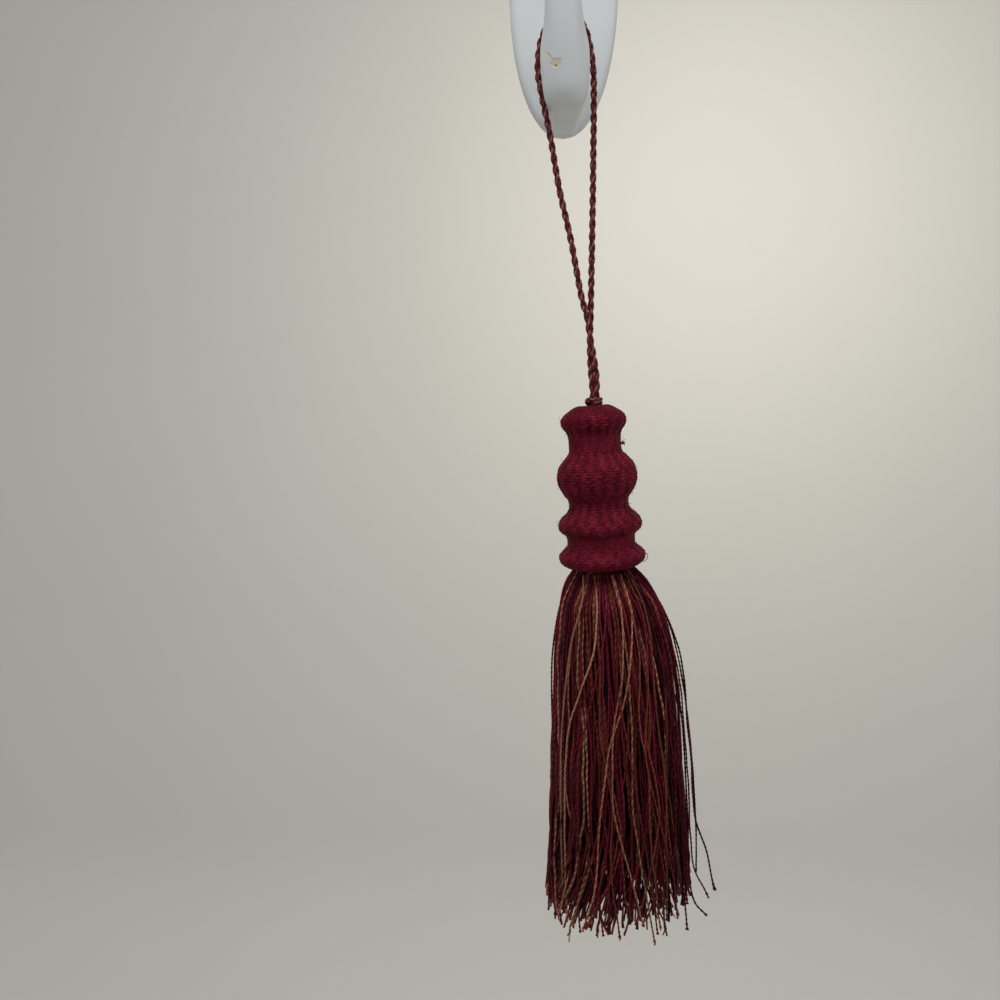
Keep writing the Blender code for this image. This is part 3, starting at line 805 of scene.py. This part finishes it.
def pressed(s, side, r):
    """How far the skirt's left side is pushed forward at this height, in mm."""
    grown = np.clip((s - 60.0) / 72.0, 0, 1)
    return FORWARD * grown * np.maximum(0.0, -side / np.maximum(r, 0.1)) ** 1.3


def pick_blends(rng, front):
    """Two ply colours for each strand, by its angle from the front in degrees."""
    names = [row[:2] for row in BLENDS]
    picked = []
    for a in front:
        weights = np.array([float(row[2]) for row in BLENDS])
        for where, width, yarn, more in GATHERED:
            gap = abs((a - where + 180) % 360 - 180)
            push = 1 + (more - 1) * math.exp(-(gap / width) ** 2)
            for k, pair in enumerate(names):
                if yarn in pair:
                    weights[k] *= push
        picked.append(names[rng.choice(len(names), p=weights / weights.sum())])
    return picked


def strand_lines(rng, share, angle, ends, sections_n):
    """Centre lines: strands x sections x 3 (s, side, deep in mm)."""
    n = len(share)
    t = np.linspace(0, 1, sections_n) ** 0.94
    top = 40.9 + rng.uniform(0, 0.5, n)
    s = top[:, None] + (ends - top)[:, None] * t[None, :]
    r, shift = skirt_at(s)
    q = np.sqrt(share)[:, None]
    grow = np.clip((s - 43) / 60, 0, 1)
    way = np.linspace(0, 92, sections_n)
    # slow wander, a lean of each strand to one side, and the kinks of unwound yarn
    strays = rng.random((n, 1)) < 0.16
    lean = rng.normal(0, 1.35, (n, 1)) * np.where(strays, 3.0, 1.0)
    low = np.clip((s - 84) / 48, 0, 1)
    round_way = (lean * grow ** 1.2 + 0.75 * waves(rng, way, n, 100, 22, 5) * (0.25 + 0.75 * grow)
                 + 0.06 * waves(rng, way, n, 11, 6, 3)
                 + rng.normal(0, 1.0, (n, 1)) * low ** 1.4 * np.where(rng.random((n, 1)) < 0.30, 3.4, 1.0))
    in_out = (0.55 * waves(rng, way, n, 90, 20, 5) * (0.15 + 0.85 * grow)
              + 0.06 * waves(rng, way, n, 11, 6, 3) + np.where(strays, 0.5, 0.0) * grow)
    # the lower front fans out to both sides
    ahead_of = (angle + math.pi / 2 + math.pi) % TAU - math.pi
    fan = np.sin(2 * np.clip(ahead_of, -math.pi / 2, math.pi / 2)) * (np.abs(ahead_of) < math.pi / 2)
    fan = np.where(fan < 0, 7.5, 4.5) * fan + np.where(np.abs(ahead_of) < 0.5, rng.normal(-1.5, 3.0, n), 0)
    round_way = round_way + fan[:, None] * np.clip((s - 99) / 33, 0, 1) ** 2
    # the cut ends splay
    near_end = np.clip((s - (ends[:, None] - 24)) / 24, 0, 1)
    round_way = round_way + rng.normal(0, 2.5, (n, 1)) * near_end ** 2.0
    in_out = in_out + rng.normal(0.15, 0.9, (n, 1)) * near_end ** 2.2
    front = np.clip(-np.sin(angle), 0, 1)[:, None]
    recess = 1 - 0.42 * front * np.clip((50.5 - s) / 7.5, 0, 1)
    locks = (0.5 * np.sin(angle * 13 + 0.7) + 0.4 * np.sin(angle * 23 + 2.1))[:, None]
    rad = q * (r - 0.32) * recess + in_out + locks * grow * 0.6 * q
    # nothing stands far outside the bell, but its skin is loose
    over = rad - (r - 0.45)
    rad = np.where(over > 0, r - 0.45 + 0.30 * np.tanh(over / 0.6) + 0.35 * near_end * np.clip(over, 0, 1.5), rad)
    rad = np.maximum(rad, 0.05)
    ang = angle[:, None] + round_way / np.maximum(rad, 3.5)
    drawn_in = np.clip((np.cos(ang) - 0.50) / 0.45, 0, 1) * np.where(rng.random((n, 1)) < 0.15, 0.2, 1.0)
    rad = rad * (1 - 0.12 * drawn_in * np.clip((s - 58) / 36, 0, 1))
    side = shift + rad * np.cos(ang)
    side = side - 1.3 * np.clip(-np.cos(ang), 0, 1) * np.clip((s - 78) / 50, 0, 1)
    deep = rad * np.sin(ang) - pressed(s, side, r)
    deep = np.minimum(deep, 19.6)
    return np.stack((s, side, deep), axis=-1)


def strand_rings(lines, width, sides, rng, twist=0.0):
    """Rings round each centre line; the cut end is frayed wide. twist is the plies' pitch
    in mm where the strand's own outline shows them."""
    points = on_tassel(lines[..., 0], lines[..., 1], lines[..., 2])
    n, m, _ = points.shape
    tangent = unit(np.gradient(points, axis=1))
    ref = np.array((0.25, 0.95, 0.1))
    side = unit(np.cross(tangent, ref))
    up = np.cross(tangent, side)
    step = np.linalg.norm(np.diff(points, axis=1), axis=2)
    along = np.concatenate((np.zeros((n, 1)), np.cumsum(step, axis=1)), axis=1)
    left = along[:, -1:] - along
    flare = np.clip(1 - left / (2.8 * MM), 0, 1) ** 1.4
    spin = rng.uniform(0, TAU, (n, 1))
    uneven = 1 + 0.05 * waves(rng, np.linspace(0, 92, m), n, 14, 5, 3)
    half = width[:, None] * MM / 2 * uneven
    wide = half * (1 + 1.0 * flare * rng.uniform(0.25, 1.25, (n, 1)))
    thin = half * (1 - 0.15 * flare)
    if twist:
        spin = spin + TAU * along / (twist * MM)
        wide, thin = wide * 1.05, thin * 0.80
    ang = np.arange(sides) / sides * TAU
    c, d = np.cos(ang)[None, None, :], np.sin(ang)[None, None, :]
    a1, a2 = np.cos(spin)[..., None], np.sin(spin)[..., None]
    x = wide[..., None] * c
    y = thin[..., None] * d
    px, py = x * a1 - y * a2, x * a2 + y * a1
    rings = points[:, :, None, :] + side[:, :, None, :] * px[..., None] + up[:, :, None, :] * py[..., None]
    return rings, along, points


def strand_tints(rng, blends, sections_n, along):
    """Colours of both plies along each strand: uneven dye, painted shade darker further down, a little redder at the
    cut end.
    """
    n = len(blends)
    drift = waves(rng, np.linspace(0, 92, sections_n), n, 60, 12, 4)
    left = (along[:, -1:] - along) / MM
    end = np.clip(1 - left / 5.0, 0, 1)[..., None]
    out = []
    for k in (0, 1):
        base = np.array([0.77 * YARN[b[k]] + 0.23 * YARN[b[1 - k]] for b in blends])[:, None, :]
        shade = (1 + 0.16 * rng.normal(0, 1, (n, 1, 1))) * (1 + 0.13 * drift[..., None])
        # painted shade: darker further down the strand, where less light falls
        shade = shade * (0.94 - 0.20 * np.clip((along / MM - 36) / 30, 0, 1) + 0.10 * end[..., 0])[..., None]
        tint = np.clip(base * shade, 0.004, 1)
        tint = tint * (1 + end * np.array((0.45, 0.22, 0.26)))
        out.append(np.clip(tint, 0.004, 1)[:, :, None, :])
    return out


def split_tips(rng, points, blends, stack):
    """The two plies part for the last millimetres of a strand."""
    n = len(blends)
    end, before = points[:, -1], points[:, -3]
    way = unit(end - before)
    side = unit(np.cross(way, np.array((0.25, 0.95, 0.1))))
    up = np.cross(way, side)
    spin = rng.uniform(0, TAU, n)
    apart = side * np.cos(spin)[:, None] + up * np.sin(spin)[:, None]
    t = np.linspace(0, 1, 6)
    for k in (0, 1):
        reach = rng.uniform(1.2, 3.0, n)[:, None, None] * MM
        open_ = rng.uniform(0.15, 0.85, n)[:, None, None] * MM * (1 if k else -1)
        line = (end - way * 0.5 * MM)[:, None, :] + way[:, None, :] * reach * t[None, :, None] \
            + apart[:, None, :] * open_ * (t ** 1.6)[None, :, None]
        a = np.arange(4) / 4 * TAU
        radius = (0.17 * MM) * (1 + 0.35 * t)[None, :, None, None] * rng.uniform(0.8, 1.2, n)[:, None, None, None]
        rings = line[:, :, None, :] + (side[:, None, None, :] * np.cos(a)[None, None, :, None]
                                       + up[:, None, None, :] * np.sin(a)[None, None, :, None]) * radius
        tint = np.array([YARN[b[k]] for b in blends])[:, None, None, :] * np.array((1.25, 1.1, 1.1))
        stack.tubes(rings, np.clip(tint, 0.004, 1), np.broadcast_to(t * 0.002, (n, 6)))


def drawn_strand(rows, sections_n, on_skirt, rng):
    """One strand drawn by a few points; on_skirt rows give a share of the radius instead."""
    fine = catmull(np.array([row for row in rows], float), 16)
    reach = np.concatenate(([0], np.cumsum(np.linalg.norm(np.diff(fine, axis=0), axis=1))))
    want = np.linspace(0, reach[-1], sections_n)
    s, side, third = (np.interp(want, reach, fine[:, k]) for k in range(3))
    kink = 0.05 * waves(rng, np.linspace(0, 92, sections_n), 2, 24, 8, 3)
    side = side + kink[0]
    if on_skirt:
        r, shift = skirt_at(s)
        off = side - shift
        rad = (r - 0.1) * third
        recess = 1 - 0.40 * np.clip((50.2 - s) / 7.5, 0, 1)
        deep = -np.sqrt(np.maximum(rad ** 2 - off ** 2, 0.5)) * recess - pressed(s, side, r) + kink[1]
    else:
        deep = third + kink[1]
    return np.stack((s, side, deep), axis=-1)[None]


def build_skirt():
    rng = np.random.default_rng(23)
    names = ("skirt_core", "skirt_left", "skirt_right", "skirt_laid")
    stacks = {name: Stack() for name in names}
    order = (np.arange(STRANDS) + 0.5) / STRANDS
    angle = np.arange(STRANDS) * math.pi * (3 - math.sqrt(5)) + rng.normal(0, 0.05, STRANDS)
    angle = angle % TAU
    front = np.degrees((angle + math.pi / 2 + math.pi) % TAU - math.pi)
    # the lower edge is uneven: a little longer at the left and right of the front
    longer = (1.0 * np.exp(-((front + 80) / 38) ** 2) + 2.2 * np.exp(-((front - 12) / 20) ** 2)
              - 4.2 * np.exp(-((front - 88) / 42) ** 2))
    ends = 130.2 + longer + rng.normal(0, 1.7, STRANDS) + 0.8 * np.sin(angle * 8 + 0.3)
    short = rng.random(STRANDS) < 0.07
    ends = np.where(short, ends - rng.uniform(3, 16, STRANDS), ends)
    ends = np.clip(ends, 110, 135.5)
    width = STRAND_WIDE * rng.uniform(0.80, 1.18, STRANDS)
    # few strands stand at the very right, so light comes through between them
    keep = ~((np.sqrt(order) * np.cos(angle) > 0.84) & (rng.random(STRANDS) < 0.55))
    blends = pick_blends(rng, front)
    # what lies deep in the skirt is mostly given dark yarn colours: painted shade for the inside of the skirt
    for k in np.nonzero((order < 0.62) & (np.sqrt(order) * np.cos(angle) < 0.5))[0]:
        if rng.random() < 0.75:
            blends[k] = (("dark", "plum"), ("plum", "burgundy"), ("dark", "dark"))[rng.integers(3)]
    for lo, hi, sections_n, sides in ((0.0, INNER_SHARE, 24, 4), (INNER_SHARE, 1.01, 58, 5)):
        chosen = np.nonzero((order >= lo) & (order < hi) & keep)[0]
        lines = strand_lines(rng, order[chosen], angle[chosen], ends[chosen], sections_n)
        rings, along, points = strand_rings(lines, width[chosen], sides, rng)
        tint, tint_b = strand_tints(rng, [blends[c] for c in chosen], sections_n, along)
        if hi <= INNER_SHARE:
            homes = {"skirt_core": np.ones(len(chosen), bool)}
        else:
            homes = {"skirt_left": np.cos(angle[chosen]) < 0, "skirt_right": np.cos(angle[chosen]) >= 0}
        for name, mine in homes.items():
            stacks[name].tubes(rings[mine], tint[mine], along[mine], tint_b=tint_b[mine])
        forked = rng.random(len(chosen)) < 0.10
        if forked.any() and hi > INNER_SHARE:
            split_tips(rng, points[forked], [blends[c] for c, f in zip(chosen, forked) if f],
                       stacks["skirt_laid"])
    for rows, on_skirt in ((LAID_OVER, True), (STRAYS, False)):
        for pair, points_in in rows:
            lines = drawn_strand(points_in, 236, on_skirt, rng)
            wide = np.array([STRAND_WIDE * rng.uniform(0.90, 1.08)])
            rings, along, points = strand_rings(lines, wide, 6, rng, twist=2.6)
            tint, tint_b = strand_tints(rng, [pair], 236, along)
            stacks["skirt_laid"].tubes(rings, tint, along * 0, tint_b=tint_b)
    for name, stack in stacks.items():
        obj = stack.build(name, strand_mat)
        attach(obj, "root")
        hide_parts("skirt")


build_skirt()

# ------------------------------------------------------------------ hook
ARM_SECTIONS = [
    # name         out_top  z_top   out_low  z_low   width  square  aside
    ("root",         0.5,   -6.5,     0.5,  -36.9,   8.6,   5.0,    0.0),
    ("plate face",   3.2,   -8.0,     3.4,  -37.2,   8.9,   5.0,    0.0),
    ("gusset",       6.0,  -11.2,     7.5,  -36.9,   9.4,   4.6,    0.0),
    ("stem",         9.5,  -13.5,    12.5,  -36.3,  10.3,   4.2,    0.0),
    ("crook",       13.0,  -14.4,    18.6,  -36.2,  11.5,   3.8,   -0.1),
    ("elbow",       15.8,  -14.1,    22.4,  -34.2,  12.2,   2.1,   -0.3),
    ("heel",        17.4,  -12.7,    24.1,  -29.4,  10.8,   2.0,   -0.5),
    ("tongue low",  18.3,  -10.3,    25.6,  -22.4,   9.3,   2.2,   -0.75),
    ("tongue",      18.9,   -7.1,    26.6,  -14.8,   8.5,   2.6,   -1.0),
    ("tongue mid",  19.5,   -3.3,    27.0,   -7.9,   8.2,   2.6,   -1.1),
    ("tongue top",  20.3,    1.2,    27.4,   -0.6,   8.5,   2.6,   -1.1),
    ("tip swell",   21.3,    5.6,    27.9,    5.4,   9.1,   2.5,   -1.1),
    ("tip",         22.5,    8.9,    27.9,    9.4,   7.8,   2.4,   -1.1),
    ("tip end",     24.0,   10.8,    26.9,   11.1,   4.2,   2.3,   -1.1),
]
ARM_CROWN = 2.1
PLATE_WIDTH, PLATE_HEIGHT, PLATE_THICK = 28.7 * MM, 75.6 * MM, 3.2 * MM
PLATE_SQUARE = 2.12


def hook_material():
    mat, nt, shader = new_material("hook_paint")
    coords = node(nt, "ShaderNodeTexCoord")
    ripple = node(nt, "ShaderNodeTexNoise")
    ripple.inputs["Scale"].default_value = 150.0
    ripple.inputs["Detail"].default_value = 2.0
    nt.links.new(coords.outputs["Object"], ripple.inputs["Vector"])
    soil = node(nt, "ShaderNodeTexNoise")
    soil.inputs["Scale"].default_value = 60.0
    soil.inputs["Detail"].default_value = 5.0
    nt.links.new(coords.outputs["Object"], soil.inputs["Vector"])
    base = mix_colour(nt, soil.outputs["Fac"], rgb(221, 225, 226), rgb(212, 215, 216))
    # a small chip on the tongue, with a scratch that runs up from it: bare undercoat
    # with a rusty speck
    warp = node(nt, "ShaderNodeTexNoise")
    warp.inputs["Scale"].default_value = 1100.0
    nt.links.new(coords.outputs["Object"], warp.inputs["Vector"])
    ragged = calc(nt, "MULTIPLY", calc(nt, "SUBTRACT", warp.outputs["Fac"], 0.5), 0.0013)

    def spot(place, size, turn, radius, soft):
        """1 inside a blot of the given size, 0 outside."""
        at = node(nt, "ShaderNodeMapping", vector_type="TEXTURE")
        at.inputs["Location"].default_value = [v * MM for v in place]
        at.inputs["Rotation"].default_value = (0.0, turn, 0.0)
        at.inputs["Scale"].default_value = size
        nt.links.new(coords.outputs["Object"], at.inputs["Vector"])
        far = node(nt, "ShaderNodeVectorMath", operation="LENGTH")
        nt.links.new(at.outputs[0], far.inputs[0])
        edge = calc(nt, "ADD", far.outputs["Value"], ragged)
        step = node(nt, "ShaderNodeMapRange")
        nt.links.new(edge, step.inputs["Value"])
        step.inputs["From Min"].default_value = radius * MM
        step.inputs["From Max"].default_value = (radius - soft) * MM
        return step.outputs[0]

    blot = spot((-2.66, -24.4, -27.8), (1.12, 3.0, 1.08), 0.0, 1.12, 0.30)
    tail = spot((-3.75, -24.7, -26.5), (0.17, 3.0, 1.0), math.radians(-38), 1.85, 0.35)
    chip = calc(nt, "MAXIMUM", blot, tail)
    speck = spot((-2.75, -24.4, -28.4), (1.0, 6.0, 0.8), 0.0, 0.36, 0.22)
    line = spot((-3.5, -24.6, -26.9), (0.28, 3.0, 1.0), math.radians(-38), 0.55, 0.2)
    chipped = mix_colour(nt, chip, base, rgb(214, 205, 184))
    chipped = mix_colour(nt, calc(nt, "MAXIMUM", speck, calc(nt, "MULTIPLY", line, 0.6)), chipped, rgb(128, 106, 82))
    nt.links.new(chipped, shader.inputs["Base Color"])
    bump = node(nt, "ShaderNodeBump")
    bump.inputs["Strength"].default_value = 0.35
    bump.inputs["Distance"].default_value = 0.00025
    nt.links.new(ripple.outputs["Fac"], bump.inputs["Height"])
    dent = node(nt, "ShaderNodeBump", invert=True)
    dent.inputs["Strength"].default_value = 0.8
    dent.inputs["Distance"].default_value = 0.00015
    nt.links.new(chip, dent.inputs["Height"])
    nt.links.new(bump.outputs["Normal"], dent.inputs["Normal"])
    nt.links.new(dent.outputs["Normal"], shader.inputs["Normal"])
    shader.inputs["Roughness"].default_value = 0.45
    shader.inputs["Coat Weight"].default_value = 0.08
    shader.inputs["Coat Roughness"].default_value = 0.15
    return mat


def solid_mesh(name, rings):
    """Closed loft through rings of equal size."""
    bm = bmesh.new()
    made = [[bm.verts.new(p) for p in ring] for ring in rings]
    for a, b in zip(made, made[1:]):
        for i in range(len(a)):
            j = (i + 1) % len(a)
            bm.faces.new((a[i], a[j], b[j], b[i]))
    bm.faces.new(made[0])
    bm.faces.new(list(reversed(made[-1])))
    bmesh.ops.recalc_face_normals(bm, faces=bm.faces[:])
    mesh = bpy.data.meshes.new(name)
    bm.to_mesh(mesh)
    bm.free()
    obj = bpy.data.objects.new(name, mesh)
    scene.collection.objects.link(obj)
    return obj


def build_hook():
    table = catmull(np.array([row[1:] for row in ARM_SECTIONS]), 5)
    a = np.arange(56) / 56 * TAU
    c, d = np.cos(a), np.sin(a)
    rings = []
    for out_top, z_top, out_low, z_low, width, square, aside in table:
        power = 2 / np.where(d < 0, square, ARM_CROWN)
        px = np.sign(c) * np.abs(c) ** power
        ph = np.sign(d) * np.abs(d) ** power
        top, low = np.array((0, -out_top, z_top)), np.array((0, -out_low, z_low))
        mid, half = (top + low) / 2, (top - low) / 2
        rings.append((mid + half * ph[:, None]
                      + np.array((1, 0, 0)) * (px * width / 2 + aside)[:, None]) * MM)
    arm = solid_mesh("hook_arm_form", rings)
    b = np.arange(120) / 120 * TAU
    ox = np.sign(np.cos(b)) * np.abs(np.cos(b)) ** (2 / PLATE_SQUARE)
    oz = np.sign(np.sin(b)) * np.abs(np.sin(b)) ** (2 / PLATE_SQUARE)
    profile = [
        # inset  out
        (0.0,    0.0),
        (0.0,    1.45),
        (0.20,   2.10),
        (0.65,   2.70),
        (1.35,   3.10),
        (2.20,   3.20),
    ]
    rings = []
    for inset, out in profile:
        rings.append(np.stack((ox * (PLATE_WIDTH / 2 - inset * MM), np.full(120, -out * MM),
                               oz * (PLATE_HEIGHT / 2 - inset * MM)), axis=1))
    plate = solid_mesh("hook_cast", rings)
    join = plate.modifiers.new("join", "BOOLEAN")
    join.operation = "UNION"
    join.solver = "EXACT"
    join.object = arm
    cells = plate.modifiers.new("cells", "REMESH")
    cells.mode = "VOXEL"
    cells.voxel_size = 0.00042
    cells.use_smooth_shade = True
    soft = plate.modifiers.new("soft", "SMOOTH")
    soft.factor = 0.6
    soft.iterations = 9
    dg = bpy.context.evaluated_depsgraph_get()
    mesh = bpy.data.meshes.new_from_object(plate.evaluated_get(dg))
    plate.modifiers.clear()
    plate.data = mesh
    mesh.name = "hook_cast"
    bpy.data.objects.remove(arm)
    co = np.empty(len(mesh.vertices) * 3, np.float32)
    mesh.vertices.foreach_get("co", co)
    co = co.reshape(-1, 3)
    co[:, 1] = np.where(co[:, 1] > -0.0003, 0.0, co[:, 1])        # the back stays flat on the wall
    mesh.vertices.foreach_set("co", co.ravel())
    mesh.update()
    mesh.shade_smooth()
    mesh.materials.clear()
    mesh.materials.append(hook_material())
    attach(plate, "root")
    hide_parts("hook")
    return plate


build_hook()

# ------------------------------------------------------------------ floor, backdrop, light
def build_stage():
    mat, nt, shader = new_material("studio_paper")
    coords = node(nt, "ShaderNodeTexCoord")
    grain = node(nt, "ShaderNodeTexNoise")
    grain.inputs["Scale"].default_value = 3.0
    grain.inputs["Detail"].default_value = 3.0
    nt.links.new(coords.outputs["Object"], grain.inputs["Vector"])
    nt.links.new(mix_colour(nt, grain.outputs["Fac"], rgb(219, 217, 209), rgb(215, 213, 205)),
                 shader.inputs["Base Color"])
    shader.inputs["Roughness"].default_value = 0.9
    floor_z, back_y, bend = -1.50, 1.35, 0.45
    line = [(-2.6, floor_z), (back_y - bend, floor_z)]
    for k in range(1, 13):
        t = k / 12 * math.pi / 2
        line.append((back_y - bend + bend * math.sin(t), floor_z + bend - bend * math.cos(t)))
    line.append((back_y, 3.2))
    rings = [[(-3.2, y, z), (3.2, y, z)] for y, z in line]
    bm = bmesh.new()
    rows = [[bm.verts.new(p) for p in ring] for ring in rings]
    for a, b in zip(rows, rows[1:]):
        bm.faces.new((a[0], a[1], b[1], b[0]))
    mesh = bpy.data.meshes.new("studio_sweep")
    bm.to_mesh(mesh)
    bm.free()
    mesh.shade_smooth()
    mesh.materials.append(mat)
    sweep = bpy.data.objects.new("studio_sweep", mesh)
    scene.collection.objects.link(sweep)


def area_light(name, place, aim, size, power, colour=(1, 1, 1)):
    data = bpy.data.lights.new(name, "AREA")
    data.shape = "SQUARE"
    data.size = size
    data.energy = power
    data.color = colour
    obj = bpy.data.objects.new(name, data)
    obj.location = place
    obj.rotation_euler = (Vector(aim) - Vector(place)).to_track_quat("-Z", "Y").to_euler()
    scene.collection.objects.link(obj)


build_stage()
centre = (0.01, -0.02, -0.14)
area_light("key", (-0.16, -0.42, 0.74), centre, 0.55, 5.2, (1.0, 0.985, 0.96))
area_light("fill", (0.85, -0.65, 0.40), centre, 0.9, 2.0, (1.0, 0.98, 0.95))
area_light("top", (0.1, 0.0, 1.2), centre, 0.7, 0.9)
area_light("paper_wash", (0.38, 0.42, 0.37), (0.38, 1.35, 0.07), 0.3, 4.9, (1.0, 0.965, 0.88))
world = bpy.data.worlds.new("studio")
scene.world = world
world.use_nodes = True
world.node_tree.nodes["Background"].inputs["Color"].default_value = (0.96, 0.97, 1.0, 1.0)
# brighter from above than from below
way = world.node_tree.nodes.new("ShaderNodeTexCoord")
split = world.node_tree.nodes.new("ShaderNodeSeparateXYZ")
world.node_tree.links.new(way.outputs["Generated"], split.inputs[0])
ramp = world.node_tree.nodes.new("ShaderNodeMapRange")
ramp.inputs["From Min"].default_value = -1.0
ramp.inputs["From Max"].default_value = 1.0
ramp.inputs["To Min"].default_value = 0.15
ramp.inputs["To Max"].default_value = 0.60
world.node_tree.links.new(split.outputs["Z"], ramp.inputs["Value"])
world.node_tree.links.new(ramp.outputs[0], world.node_tree.nodes["Background"].inputs["Strength"])
